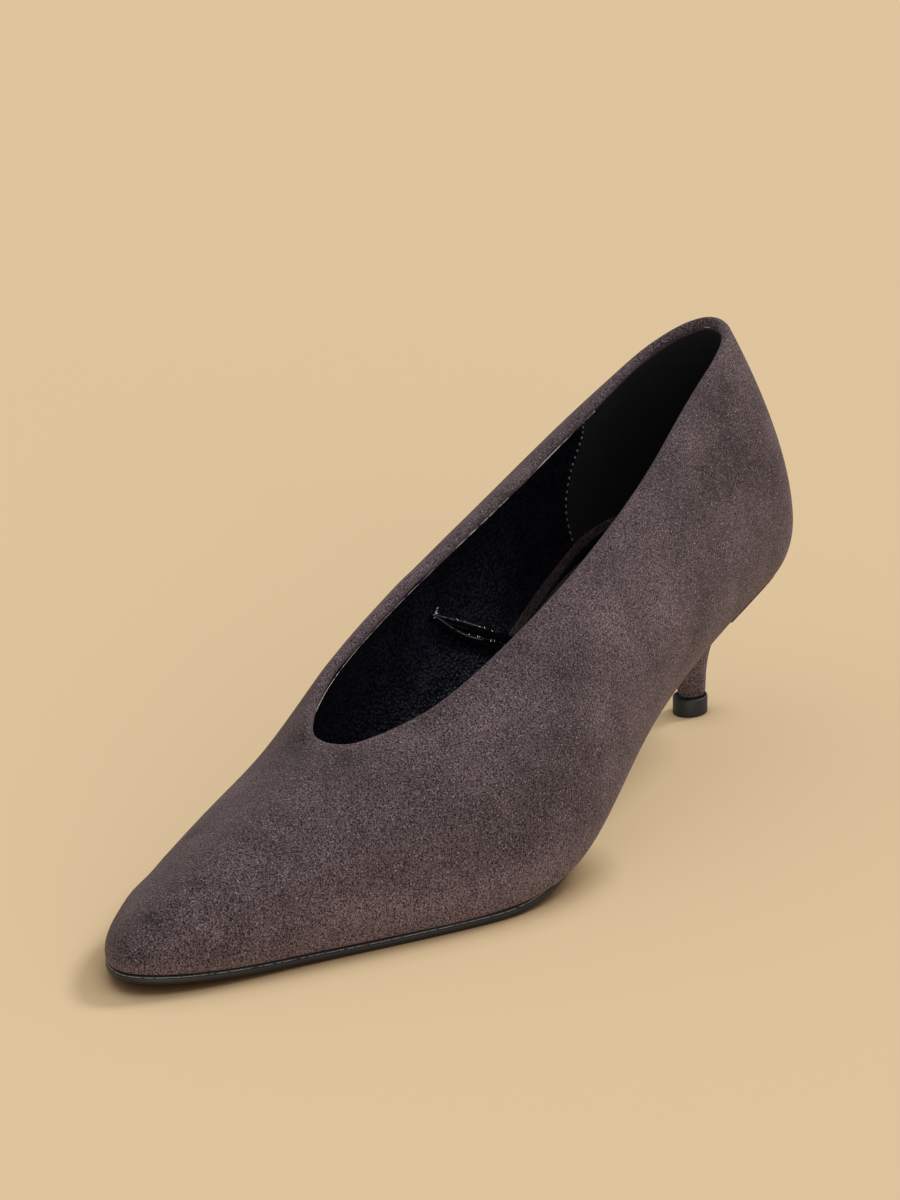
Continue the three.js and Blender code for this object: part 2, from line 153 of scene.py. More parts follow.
# The side of the sole from the ledge under the upper down: inset, drop below the sole's top
OUTSOLE_SIDE = [
    (1.4, 0.0), (0.75, 0.02), (0.55, 0.1), (0.5, 0.28), (0.42, 0.4), (0.2, 0.42), (0.02, 0.46),
    (-0.12, 0.56), (-SOLE_PROUD, 0.8), (-SOLE_PROUD, 1.2), (-SOLE_PROUD + 0.02, 1.5),
    (-0.05, 1.8), (0.15, 2.0), (0.4, 2.13), (0.7, SOLE_THICKNESS),
]
# The lining's fold from its tip down: share of its length, place round the wall, share of the height
FOLD_LINE = np.array([(0, 0.775, 0.497), (0.45, 0.8028, 0.27), (1, 0.829, 0)])
# Its two lips: shift of the height share, radius at the foot and at the tip
FOLD_LIPS = [(0.0, 1.5, 1.25), (-0.06, 1.35, 1.0)]
# Their thin edges, pale in stretches as painted highlights: shift of the height share, share of the
# length, distance from the inner face
FOLD_EDGES = [(0.012, 0.85, 1.95), (-0.062, 0.6, 1.75)]
FOLD_EDGE_RADIUS = 0.17

# Fineness of the surfaces
WALL_ROUNDS = 480
SOLE_ROUNDS = 420
FOOTBED_ROUNDS = 360
LINING_ROWS = 104
LINING_COLUMNS = 460
GRIP_ROWS = 70
GRIP_COLUMNS = 150
BREAST_STEPS = 24
WALL_LEVELS = 110
ROLL_STEPS = 10
EDGE_STEPS = 6
BACKING_LEVELS = 24


# Curves

def calm_curve(knots, values):
    """A cubic curve through values at rising knots, with slopes that never overshoot"""
    spans = np.diff(values) / np.diff(knots)
    before = np.concatenate([spans[:1], spans])
    after = np.concatenate([spans, spans[-1:]])
    both = np.where(before + after == 0, 1, before + after)
    slopes = np.where(before * after > 0, 2 * before * after / both, 0)

    def at(place):
        place = np.clip(place, knots[0], knots[-1])
        i = np.clip(np.searchsorted(knots, place) - 1, 0, len(knots) - 2)
        step = knots[i + 1] - knots[i]
        t = (place - knots[i]) / step
        lead = values[i] * (1 + 2 * t) + slopes[i] * step * t
        trail = values[i + 1] * (3 - 2 * t) - slopes[i + 1] * step * (1 - t)
        return lead * (1 - t) ** 2 + trail * t ** 2
    return at


def closed_curve(knots, points):
    """A closed smooth curve through points at rising knots from 0, which meets itself at 1"""
    count = len(points)
    steps = np.diff(np.append(knots, 1.0))
    slopes = (np.roll(points, -1, 0) - points) / steps[:, None]
    pulls = 6 * (slopes - np.roll(slopes, 1, 0))
    matrix = np.zeros((count, count))
    for i in range(count):
        matrix[i, i] = 2 * (steps[i - 1] + steps[i])
        matrix[i, (i + 1) % count] += steps[i]
        matrix[i, i - 1] += steps[i - 1]
    bends = np.linalg.solve(matrix, pulls)

    def at(place):
        place = np.asarray(place, float)
        place = place - np.floor(place)
        i = np.clip(np.searchsorted(knots, place, side="right") - 1, 0, count - 1)
        j = (i + 1) % count
        step = steps[i][..., None]
        b = (place - knots[i])[..., None] / step
        a = 1 - b
        bend = bends[i] * (a ** 3 - a) + bends[j] * (b ** 3 - b)
        return points[i] * a + points[j] * b + bend * step ** 2 / 6
    return at


def smoothstep(value, low, high):
    share = np.clip((value - low) / (high - low), 0, 1)
    return share * share * (3 - 2 * share)


def unit(vectors):
    return vectors / np.linalg.norm(vectors, axis=-1, keepdims=True)


# The wall of the upper

sole_rise = calm_curve(SOLE_LINE[:, 0] * SOLE_LENGTH, SOLE_LINE[:, 1] * SEAT_RISE)


def sole_top(along):
    return SOLE_THICKNESS + sole_rise(along)


def swing(along):
    share = (along / SOLE_LENGTH - SWING_START) / (1 - SWING_START)
    return -TOE_SWING * np.maximum(share, 0) ** SWING_POWER


def outwards(curve, at):
    reach = 0.0005
    run = curve(np.asarray(at) + reach) - curve(np.asarray(at) - reach)
    return unit(np.stack([-run[..., 1], run[..., 0], np.zeros(run.shape[:-1])], -1))


def wall_curves():
    """The closed curves that carry the wall: foot, its handle, the rim's handle and the rim"""
    outer = [(1, row) for row in OUTER_ROWS]
    inner = [(-1, row) for row in reversed(INNER_ROWS)]
    rows = [(1, BACK_ROW), *outer, (1, TIP_ROW), *inner]
    hand = np.array([side for side, row in rows])
    table = np.array([row for side, row in rows], float)
    foot_along = table[:, 0] * SOLE_LENGTH
    foot_side = hand * table[:, 1] * BALL_WIDTH + swing(foot_along)
    feet = np.stack([foot_side, -foot_along, sole_top(foot_along) + SEAM_GAP], 1)
    rim_along = table[:, 2] * SOLE_LENGTH
    rim_side = hand * table[:, 3] * BALL_WIDTH + swing(rim_along)
    rims = np.stack([rim_side, -rim_along, table[:, 4] * BACK_HEIGHT], 1)
    rim_weight = 0.6
    chords = np.linalg.norm(np.roll(feet, -1, 0) - feet, axis=1)
    chords += rim_weight * np.linalg.norm(np.roll(rims, -1, 0) - rims, axis=1)
    places = np.concatenate([[0], np.cumsum(chords)[:-1]]) / chords.sum()
    foot = closed_curve(places, feet)
    rim = closed_curve(places, rims)
    up = np.array([0, 0, 1.0])
    foot_lean = outwards(foot, places) * (table[:, 5] * BALL_WIDTH)[:, None]
    low = closed_curve(places, feet + foot_lean + up * FOOT_LINE_UPRIGHT)
    rim_lean = outwards(rim, places) * (table[:, 6] * BALL_WIDTH)[:, None]
    high = closed_curve(places, rims + rim_lean - up * (table[:, 7] * BACK_HEIGHT)[:, None])
    return foot, low, high, rim


FOOT, LOW, HIGH, RIM = wall_curves()


def wall_point(around, up):
    """A point of the outer face: round from the heel by the outer side, up from foot to rim"""
    around, up = np.broadcast_arrays(np.asarray(around, float), np.asarray(up, float))
    up = up[..., None]
    down = 1 - up
    point = FOOT(around) * down ** 3 + LOW(around) * 3 * down ** 2 * up
    return point + HIGH(around) * 3 * down * up ** 2 + RIM(around) * up ** 3


def wall_up(around, up):
    reach = 0.002
    above = wall_point(around, np.minimum(up + reach, 1))
    return unit(above - wall_point(around, np.maximum(up - reach, 0)))


def wall_out(around, up):
    """Unit vector square to the outer face, which is level at the foot"""
    reach = 0.0005
    around, up = np.broadcast_arrays(np.asarray(around, float), np.asarray(up, float))
    run = wall_point(around + reach, up) - wall_point(around - reach, up)
    square = unit(np.cross(wall_up(around, up), run))
    turn = smoothstep(up, 0, FOOT_TURN)[..., None]
    return unit(outwards(FOOT, around) * (1 - turn) + square * turn)


def wall_thickness(up):
    return UPPER_WALL + (COLLAR_WALL - UPPER_WALL) * smoothstep(up, 1 - COLLAR_TURN, 1)


def rim_share(around, distance):
    """Share of the wall's height that lies a distance below the rim"""
    reach = 0.01
    length = np.linalg.norm(wall_point(around, 1) - wall_point(around, 1 - reach), axis=-1) / reach
    return 1 - distance / length


def foot_share(around, distance):
    """Share of the wall's height that lies a distance above the foot"""
    reach = 0.01
    length = np.linalg.norm(wall_point(around, reach) - wall_point(around, 0), axis=-1) / reach
    return distance / length


# The shoe's own middle lies where the solids were centred
def shift_to_frame():
    """How far the wall's table has to move so that it lies where the solids are"""
    around = np.linspace(0, 1, 2000, endpoint=False)
    low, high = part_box("upper")
    across = wall_point(around[:, None], np.linspace(0, 1, 41)[None, :])
    middle = (across.reshape(-1, 3).max(0) + across.reshape(-1, 3).min(0)) / 2
    box_middle = np.array((Vector(low) + Vector(high)) / 2) / MM
    return np.array([box_middle[0] - middle[0], box_middle[1] - middle[1], 0])


SHIFT = shift_to_frame()


# Meshes

def add_object(name, points, faces, material, coordinates=None, tones=None):
    """Makes a piece in the frame from points in millimetres"""
    mesh = bpy.data.meshes.new(name)
    mesh.from_pydata(((points + SHIFT) * MM).tolist(), [], faces)
    mesh.validate()
    if coordinates is not None:
        layer = mesh.uv_layers.new(name="wall")
        corners = np.zeros(len(mesh.loops), dtype=np.int32)
        mesh.loops.foreach_get("vertex_index", corners)
        layer.data.foreach_set("uv", coordinates[corners].astype(np.float32).ravel())
    if tones is not None:
        layer = mesh.attributes.new("tone", "FLOAT", "POINT")
        layer.data.foreach_set("value", tones.astype(np.float32))
    mesh.polygons.foreach_set("use_smooth", [True] * len(mesh.polygons))
    mesh.materials.append(material)
    piece = bpy.data.objects.new(name, mesh)
    bpy.context.scene.collection.objects.link(piece)
    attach(piece, "root")
    return piece


def grid_faces(rows, columns, closes_rows, closes_columns):
    """Quads between the points of a grid, numbered row by row"""
    i = np.arange(rows if closes_rows else rows - 1)[:, None]
    j = np.arange(columns if closes_columns else columns - 1)[None, :]
    i2 = (i + 1) % rows
    j2 = (j + 1) % columns
    quads = np.stack(np.broadcast_arrays(
        i * columns + j, i * columns + j2, i2 * columns + j2, i2 * columns + j), -1)
    return quads.reshape(-1, 4)


def ring_shell(levels):
    """Closed shell from rings of one size, the last of which joins the first"""
    stack = np.stack(levels)
    faces = grid_faces(stack.shape[0], stack.shape[1], True, True)
    return stack.reshape(-1, 3), faces.tolist()


def slab(front, back):
    """Closed slab between two grids of points with one shape; the front faces the viewer"""
    rows, columns = front.shape[:2]
    count = rows * columns
    quads = grid_faces(rows, columns, False, False)
    faces = quads.tolist() + (quads[:, ::-1] + count).tolist()
    edge = [(0, j) for j in range(columns)]
    edge += [(i, columns - 1) for i in range(1, rows)]
    edge += [(rows - 1, j) for j in range(columns - 2, -1, -1)]
    edge += [(i, 0) for i in range(rows - 2, 0, -1)]
    numbers = [i * columns + j for i, j in edge]
    for here, there in zip(numbers, numbers[1:] + numbers[:1]):
        faces.append([there, here, here + count, there + count])
    return np.concatenate([front.reshape(-1, 3), back.reshape(-1, 3)]), faces


# Soft dents and ridges of the suede, placed one by one.
# Columns: place round the wall, share of its height, half length and half width in millimetres,
# turn of the long side from level in degrees, height in millimetres.
SOFT_FORMS = [
    (0.48, 0.16, 9, 4.5, 20, -0.35),
    (0.455, 0.3, 14, 5, 35, -0.3),
    (0.53, 0.45, 16, 5, 10, -0.35),
    (0.545, 0.22, 12, 4, 10, 0.25),
    (0.43, 0.55, 22, 7, 15, 0.35),
    (0.37, 0.35, 24, 8, 30, -0.3),
    (0.3, 0.62, 26, 8, 10, 0.3),
    (0.215, 0.35, 24, 8, 25, -0.3),
    (0.15, 0.62, 18, 8, 60, 0.3),
    (0.075, 0.45, 16, 6, 80, -0.3),
    (0.06, 0.2, 12, 5, 15, 0.25),
    (0.66, 0.45, 24, 7, 15, -0.3),
    (0.78, 0.5, 26, 8, 10, 0.3),
    (0.9, 0.45, 20, 7, 60, -0.3),
]

# Lighter and darker patches of the nap, placed where the photo shows them, and the like of
# them on the side that it doesn't show. Columns as above, but the last is the tone.
PATCHES = [
    # lighter, outer side and toe
    (0.4125, 0.2, 13, 4, 8, 0.95), (0.375, 0.16, 10, 3.2, 8, 0.6), (0.339, 0.15, 9, 3, 8, 0.6),
    (0.458, 0.46, 5, 4, 0, 0.55), (0.481, 0.25, 6, 3, 0, 0.65), (0.512, 0.74, 12, 4, 40, 0.85),
    (0.512, 0.53, 4, 3.5, 0, 0.55), (0.517, 0.3, 6, 4, 0, 0.5), (0.432, 0.88, 4, 3, 0, 0.6),
    (0.372, 0.86, 7, 5, 20, 0.45), (0.336, 0.86, 9, 6, 20, 0.6), (0.243, 0.86, 9, 9, 0, 0.85),
    (0.197, 0.68, 8, 6, 60, 0.5), (0.108, 0.55, 9, 8, 0, 0.65), (0.128, 0.34, 8, 3.5, 60, 0.6),
    (0.174, 0.13, 12, 2.6, 5, 0.6), (0.247, 0.1, 14, 2.4, 5, 0.45), (0.11, 0.93, 6, 4, 60, 0.35),
    (0.395, 0.13, 42, 5, 4, 0.6), (0.395, 0.3, 30, 7, 6, 0.25),
    (0.042, 0.88, 5, 4, 60, 0.4), (0.044, 0.68, 6, 4, 60, 0.5), (0.349, 0.47, 3, 3, 0, 0.35),
    # darker, outer side and toe
    (0.5015, 0.3, 3.2, 2.6, 0, -0.9), (0.498, 0.47, 7, 2.4, 35, -0.75), (0.536, 0.56, 6, 3, 20, -0.9),
    (0.476, 0.58, 11, 3.2, 8, -0.6), (0.568, 0.95, 5, 4, 0, -0.6), (0.48, 0.96, 6, 2.6, 0, -0.6),
    (0.393, 0.54, 18, 8, 10, -0.45), (0.322, 0.5, 12, 11, 0, -0.6), (0.34, 0.36, 10, 4, 10, -0.5),
    (0.086, 0.72, 10, 10, 0, -0.65), (0.066, 0.92, 9, 4, 70, -0.5), (0.153, 0.55, 7, 4, 60, -0.55),
    (0.281, 0.8, 9, 7, 30, -0.55), (0.189, 0.9, 7, 6, 0, -0.3), (0.126, 0.78, 7, 5, 0, -0.45),
    (0.453, 0.12, 2.6, 2.2, 0, -0.7), (0.503, 0.09, 6, 3, 0, -0.5), (0.056, 0.55, 7, 4, 70, -0.45),
    (0.296, 0.06, 7, 3, 0, -0.4), (0.09, 0.66, 26, 26, 0, -0.55), (0.03, 0.75, 22, 22, 0, -0.3),
    # inner side and back
    (0.61, 0.3, 10, 4, 20, 0.6), (0.65, 0.6, 12, 6, 10, -0.55), (0.69, 0.2, 12, 3.5, 8, 0.6),
    (0.72, 0.7, 12, 8, 20, 0.5), (0.76, 0.35, 12, 7, 10, -0.5), (0.8, 0.75, 10, 8, 0, -0.45),
    (0.83, 0.25, 13, 4, 10, 0.6), (0.87, 0.6, 10, 8, 0, 0.5), (0.91, 0.35, 8, 6, 60, -0.5),
    (0.94, 0.75, 9, 5, 70, -0.45), (0.97, 0.4, 8, 5, 70, 0.5), (0.995, 0.65, 9, 4.5, 80, -0.4),
    (0.02, 0.3, 8, 5, 70, 0.35), (0.58, 0.62, 9, 4, 30, 0.5),
]


def soft_spots(table, around, up):
    """Sum of the soft spots of a table at places of the wall"""
    place = wall_point(around, up)
    total = np.zeros(place.shape[:-1])
    for middle, height_share, half_length, half_width, turn, height in table:
        centre = wall_point(middle, height_share)
        rise = wall_up(middle, height_share)
        across = np.cross(rise, wall_out(middle, height_share))
        offset = place - centre
        angle = math.radians(turn)
        level = offset @ across
        steep = offset @ rise
        along = level * math.cos(angle) + steep * math.sin(angle)
        beside = steep * math.cos(angle) - level * math.sin(angle)
        deep = np.linalg.norm(offset, axis=-1) ** 2 - along ** 2 - beside ** 2
        far = (along / half_length) ** 2 + (beside / half_width) ** 2 + deep / half_length ** 2
        total += height * np.exp(-far)
    return total


def rim_wave(around):
    """Slight unevenness of the rolled rim, in millimetres"""
    turn = 2 * math.pi * around
    fade = smoothstep(around, 0.6, 0.68) * smoothstep(1 - around, 0.02, 0.08)
    return fade * (0.32 * np.sin(14 * turn + 0.7) + 0.2 * np.sin(23 * turn + 2.1))


def wall_rounds(count=WALL_ROUNDS):
    return np.arange(count) / count


def make_suede_upper(material):
    """The suede from its lasted edge under the footbed up to the rolled rim and down inside it"""
    around = wall_rounds()
    foot_out = outwards(FOOT, around)
    foot = wall_point(around, 0)
    foot_rise = wall_up(around, 0)
    upright = np.array([0, 0, 1.0])
    under = -SUEDE_TUCK_THICKNESS - SKIN_GAP
    levels = [
        foot - foot_out * SUEDE_TUCK - upright * SKIN_GAP,
        foot - foot_out * SUEDE_TUCK + upright * under,
        foot - foot_out * (FOOT_EDGE_ROUND + 1) + upright * under,
    ]
    shares = [0, 0, 0]
    for step in range(EDGE_STEPS):
        angle = 0.5 * math.pi * step / EDGE_STEPS
        inwards = FOOT_EDGE_ROUND * (1 - math.sin(angle))
        rise = FOOT_EDGE_ROUND * (1 - math.cos(angle))
        levels.append(foot - foot_out * inwards + foot_rise * rise
                      + upright * under * (1 - math.sin(angle)))
        shares.append(0)
    first = foot_share(around, FOOT_EDGE_ROUND)
    for step in range(WALL_LEVELS + 1):
        up = first + (1 - first) * step / WALL_LEVELS
        fade = smoothstep(up, 0, 0.06) * smoothstep(1 - up, 0, 0.05)
        relief = soft_spots(SOFT_FORMS, around, up) * fade
        level = wall_point(around, up) + wall_out(around, up) * relief[:, None]
        level[:, 2] += rim_wave(around) * smoothstep(up, 0.86, 1)
        levels.append(level)
        shares.append(step / WALL_LEVELS)
    rim = wall_point(around, 1)
    rim[:, 2] += rim_wave(around)
    rim_out = wall_out(around, 1)
    rim_rise = wall_up(around, 1)
    half = COLLAR_WALL / 2
    for step in range(1, ROLL_STEPS):
        angle = math.pi * step / ROLL_STEPS
        side = rim_out * (half * math.cos(angle) - half)
        levels.append(rim + side + rim_rise * half * math.sin(angle))
        shares.append(1)
    for distance in np.linspace(0, RIM_BAND, 5):
        up = rim_share(around, distance)
        level = wall_point(around, up) - wall_out(around, up) * COLLAR_WALL
        level[:, 2] += rim_wave(around) * (1 - distance / RIM_BAND)
        levels.append(level)
        shares.append(1)
    edge_share = rim_share(around, RIM_BAND + 0.15)
    for step in range(BACKING_LEVELS, -1, -1):
        up = edge_share * step / BACKING_LEVELS
        depth = np.minimum(SUEDE_LAYER, wall_thickness(up) - 0.6)
        levels.append(wall_point(around, up) - wall_out(around, up) * depth[:, None])
        shares.append(step / BACKING_LEVELS)
    points, faces = ring_shell(levels)
    share_grid = np.repeat(np.array(shares, float)[:, None], len(around), 1)
    around_grid = np.repeat(around[None, :], len(levels), 0)
    coordinates = np.stack([around_grid, share_grid], -1).reshape(-1, 2)
    tones = soft_spots(PATCHES, around_grid, share_grid).ravel()
    piece = add_object("suede_upper", points, faces, material, coordinates, tones)
    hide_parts("upper")


# The lining: leather in front, a soft grip round the heel

# Where the leather's back edge lies on the inner face, by share of the wall's height:
# distance from the back of the heel in millimetres
LINING_EDGE_SHARES = np.array([0, 0.13, 0.24, 0.34, 0.49, 0.63, 0.82, 1])
LINING_EDGE_ALONG = np.array([34.5, 34.3, 35.2, 35.7, 34.0, 31.4, 36.5, 44.0])


def edge_round(up, outer_side):
    """Place round the wall where the leather's back edge lies at a share of the height"""
    along = np.interp(up, LINING_EDGE_SHARES, LINING_EDGE_ALONG)
    tries = np.linspace(0.01, 0.2, 400)
    if not outer_side:
        tries = 1 - tries
    distance = -wall_point(tries[None, :], np.asarray(up, float)[:, None])[..., 1]
    nearest = np.abs(distance - along[:, None]).argmin(1)
    return tries[nearest]


def smooth_row(values):
    padded = np.concatenate([values[:1]] * 4 + [values] + [values[-1:]] * 4)
    return np.convolve(padded, np.ones(9) / 9, "valid")


def inner_point(around, up, sink):
    """A point at the wall's inner face, sunk into the wall by a distance"""
    depth = wall_thickness(up) - sink
    return wall_point(around, up) - wall_out(around, up) * depth[..., None]


def lining_sheet(name, around, up, sink, material, coordinates=None):
    """Sheet that fills the wall from the back of the suede to near its inner face"""
    front = inner_point(around, up, sink)
    back = wall_point(around, up) - wall_out(around, up) * (SUEDE_LAYER + LAYER_GAP)
    points, faces = slab(front[:, ::-1], back[:, ::-1])
    piece = add_object(name, points, faces, material, coordinates)
    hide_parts("upper")


def make_leather_lining(material):
    share = np.linspace(0, 1, LINING_ROWS)
    start = smooth_row(edge_round(share, True))
    end = smooth_row(edge_round(share, False))
    across = np.linspace(0, 1, LINING_COLUMNS)
    around = start[:, None] + (end - start)[:, None] * across[None, :]
    up = share[:, None] * rim_share(around, RIM_BAND + LINING_TOP_GAP)
    side = (1 - np.abs(2 * across - 1)) * LINING_COLUMNS / 2
    edge = smoothstep(side, 0, 1.2)[None, :]
    from_top = (1 - share)[:, None] * LINING_HEIGHT
    bead = LINING_BEAD * np.exp(-(from_top / LINING_BEAD_WIDTH) ** 2)
    sink = LINING_EDGE * (1 - edge) - bead
    coordinates = np.concatenate([np.stack([around, up], -1)[:, ::-1].reshape(-1, 2)] * 2)
    lining_sheet("leather_lining", around, up, sink, material, coordinates)


def make_heel_grip(material):
    share = np.linspace(0, 1, GRIP_ROWS)
    start = smooth_row(edge_round(share, False)) - GRIP_OVERLAP - 1
    end = smooth_row(edge_round(share, True)) + GRIP_OVERLAP
    across = np.linspace(0, 1, GRIP_COLUMNS)
    around = start[:, None] + (end - start)[:, None] * across[None, :]
    up = share[:, None] * rim_share(around, RIM_BAND + LINING_TOP_GAP)
    lining_sheet("heel_grip", around, up, GRIP_SINK, material)


# Small parts of the lining

def tube(path, radii, sides):
    """Tube along a path of points, pointed at both ends"""
    runs = unit(np.gradient(path, axis=0))
    first = unit(np.cross(runs, np.array([0.3, 0.2, 1.0])))
    second = np.cross(runs, first)
    angle = 2 * math.pi * np.arange(sides) / sides
    rings = (path[:, None] + first[:, None] * (np.cos(angle)[None, :] * radii[:, None])[..., None]
             + second[:, None] * (np.sin(angle)[None, :] * radii[:, None])[..., None])
    count = len(path)
    faces = grid_faces(count, sides, False, True).tolist()
    ends = np.stack([path[0] - runs[0] * radii[0] * 0.6, path[-1] + runs[-1] * radii[-1] * 0.6])
    last = count * sides
    for i in range(sides):
        j = (i + 1) % sides
        faces.append([last, j, i])
        faces.append([last + 1, (count - 1) * sides + i, (count - 1) * sides + j])
    return np.concatenate([rings.reshape(-1, 3), ends]), faces


def joined(meshes):
    """One mesh from several"""
    points = []
    faces = []
    count = 0
    for more_points, more_faces in meshes:
        points.append(more_points)
        faces += [[corner + count for corner in face] for face in more_faces]
        count += len(more_points)
    return np.concatenate(points), faces


def stitches(middles, runs, outs, half_length, half_width, half_height):
    """Rows of small oval stitches as one mesh"""
    sides = 8
    bands = 5
    turn = 2 * math.pi * np.arange(sides) / sides
    lean = math.pi * (np.arange(bands) + 0.5) / bands
    ring = np.stack([np.repeat(np.cos(lean)[:, None], sides, 1),
                     np.sin(lean)[:, None] * np.cos(turn)[None, :],
                     np.sin(lean)[:, None] * np.sin(turn)[None, :]], -1).reshape(-1, 3)
    ball = np.concatenate([ring, [[1.0, 0, 0], [-1.0, 0, 0]]])
    faces = grid_faces(bands, sides, False, True)[:, ::-1].tolist()
    top = bands * sides
    for i in range(sides):
        j = (i + 1) % sides
        faces.append([top, i, j])
        faces.append([top + 1, (bands - 1) * sides + j, (bands - 1) * sides + i])
    sideways = unit(np.cross(outs, runs))
    points = (middles[:, None] + runs[:, None] * (ball[:, 0] * half_length)[None, :, None]
              + sideways[:, None] * (ball[:, 1] * half_width)[None, :, None]
              + outs[:, None] * (ball[:, 2] * half_height)[None, :, None])
    every = [[corner + k * len(ball) for corner in face]
             for k in range(len(middles)) for face in faces]
    return points.reshape(-1, 3), every


def even_steps(path, step):
    """Indexes of the points of a path that lie about a step apart"""
    length = np.concatenate([[0], np.cumsum(np.linalg.norm(np.diff(path, axis=0), axis=1))])
    places = np.arange(step / 2, length[-1], step)
    return np.searchsorted(length, places)


def make_seam_stitches(material):
    """The row of stitches beside the back edge of the leather, on both sides"""
    share = np.linspace(0.06, 0.955, 600)
    middles, runs, outs = [], [], []
    for outer_side in (True, False):
        shares = np.linspace(0, 1, 110)
        edge = np.interp(share, shares, smooth_row(edge_round(shares, outer_side)))
        inwards = SEAM_STITCH_INSET / AROUND_LENGTH
        around = edge + inwards if outer_side else edge - inwards
        path = inner_point(around, share, -SKIN_GAP)
        run = unit(np.gradient(path, axis=0))
        chosen = even_steps(path, SEAM_STITCH_STEP)
        middles.append(path[chosen])
        runs.append(run[chosen])
        outs.append(-wall_out(around, share)[chosen])
    points, faces = stitches(np.concatenate(middles), np.concatenate(runs),
                             np.concatenate(outs), 0.42, 0.26, 0.2)
    piece = add_object("seam_stitches", points, faces, material)
    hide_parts("upper")


def make_rim_bead(material):
    """The glossy edge of the leather under the rolled suede of the rim, with painted highlights in short
    stretches
    """
    start = smooth_row(edge_round(np.linspace(0, 1, 110), True))[-1]
    end = smooth_row(edge_round(np.linspace(0, 1, 110), False))[-1]
    around = np.linspace(start, end, 900)
    up = rim_share(around, RIM_BAND + 0.1)
    path = inner_point(around, up, -RIM_BEAD_RISE)
    side = np.minimum(around, 1 - around)
    points, faces = tube(path, 0.06 + 0.14 * smoothstep(0.255 - side, 0, 0.05), 8)
    piece = add_object("rim_bead", points, faces, material)
    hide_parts("upper")


def turned_up_layer(name, around, top, height, material):
    """Thin layer on the inside of the wall, from its foot to a given share of its height"""
    share = np.linspace(0, 1, 12)[:, None]
    up = 0.012 + (top - 0.012)[None, :] * share
    around = np.repeat(around[None, :], len(share), 0)
    edge = np.where(share > 0.95, 0.15, 0.0)
    points, faces = slab(inner_point(around, up, edge - height), inner_point(around, up, 0.3))
    piece = add_object(name, points, faces, material)
    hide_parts("insole")


def make_heel_binding(material, sock_material):
    """The suede edge of the footbed that turns up the wall round the heel"""
    around = np.linspace(-BINDING_REACH, BINDING_REACH, 260)
    top = calm_curve(BINDING_RISE[:, 0], BINDING_RISE[:, 1])(np.abs(around))
    turned_up_layer("heel_binding", around, top, 0.45, material)
    turned_up_layer("heel_sock_edge", around, top - BINDING_WIDTH, 0.85, sock_material)


def fold_line():
    """Shares of the fold's length with its places round the wall and shares of the height"""
    t = np.linspace(0, 1, 60)
    around, up = (calm_curve(FOLD_LINE[:, 0], FOLD_LINE[:, i])(t) for i in (1, 2))
    return t, around, up


def make_lining_fold(material):
    """The fold of the lining that stands up at the inner side of the ball"""
    t, around, up = fold_line()
    lips = []
    for shift, wide, narrow in FOLD_LIPS:
        radii = narrow + (wide - narrow) * smoothstep(t, -0.1, 0.9)
        share = np.clip(up + shift * smoothstep(t, -0.1, 0.4), 0.01, 1)
        path = inner_point(around, share, -radii * 0.55)
        lips.append(tube(path, radii * np.sqrt(smoothstep(t, -0.03, 0.05)), 16))
    points, faces = joined(lips)
    piece = add_object("lining_fold", points, faces, material)
    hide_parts("upper")


def make_fold_edges(material):
    """The two thin edges of the fold, one on each lip, which carry painted highlights"""
    t, around, up = fold_line()
    edges = []
    for shift, reach, height in FOLD_EDGES:
        shown = t <= reach
        along = t[shown]
        share = np.clip(up[shown] + shift * smoothstep(along, -0.1, 0.4), 0.01, 1)
        path = inner_point(around[shown], share, -height)
        fade = smoothstep(along, -0.02, 0.04) * smoothstep(-along, -reach - 0.02, -reach * 0.7)
        edges.append(tube(path, FOLD_EDGE_RADIUS * np.sqrt(fade), 6))
    points, faces = joined(edges)
    piece = add_object("fold_edges", points, faces, material)
    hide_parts("upper")


def make_fold_stitches(material):
    """The few pale stitches at the tip of the fold, and the two at the back of the rim"""
    around = np.array([0.7745, 0.7755, 0.7765, 0.7775, 0.9985, 1.0015])
    rim_up = rim_share(around, 0.6)
    up = np.where(around < 0.9, np.array([0.486, 0.498, 0.508, 0.516, 1, 1]), rim_up)
    sink = np.where(around < 0.9, -1.5, -0.05)
    middles = inner_point(around, up, sink)
    outs = -wall_out(around, up)
    runs = unit(np.cross(outs, wall_up(around, up)))
    points, faces = stitches(middles, runs, outs, 0.55, 0.2, 0.2)
    piece = add_object("fold_stitches", points, faces, material)
    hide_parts("upper")


# Outlines under the wall

def foot_ring(around, inset, height, waist_inset=0):
    """Foot line moved inwards, at a height over the sole's top"""
    point = FOOT(around)
    waist = smoothstep(point[:, 1] / SOLE_LENGTH, -WAIST_START, -WAIST_FULL)
    point = point - outwards(FOOT, around) * (inset + waist * waist_inset)[:, None]
    point[:, 2] = sole_top(-point[:, 1]) + height
    return point


def cover_ring(ring, first, faces_up):
    """Triangles over a ring, stepping down its two sides from the heel to the toe"""
    count = len(ring)
    tip = int(ring[:, 1].argmin())
    left = right = int(ring[:, 1].argmax())
    faces = []
    while left != tip or right != tip:
        left_next = (left + 1) % count
        right_next = (right - 1) % count
        steps_left = right == tip or (left != tip and ring[left_next, 1] >= ring[right_next, 1])
        corner = left_next if steps_left else right_next
        if left != right and corner not in (left, right):
            face = [first + left, first + right, first + corner]
            faces.append(face if faces_up else face[::-1])
        if steps_left:
            left = left_next
        else:
            right = right_next
    return faces


def rounded_edge(radius, steps, start=0.0):
    """Insets and drops of a quarter round, from the face over to the side"""
    angles = np.linspace(start, 0.5, steps) * math.pi
    return [(radius * (1 - math.sin(angle)), radius * (1 - math.cos(angle))) for angle in angles]


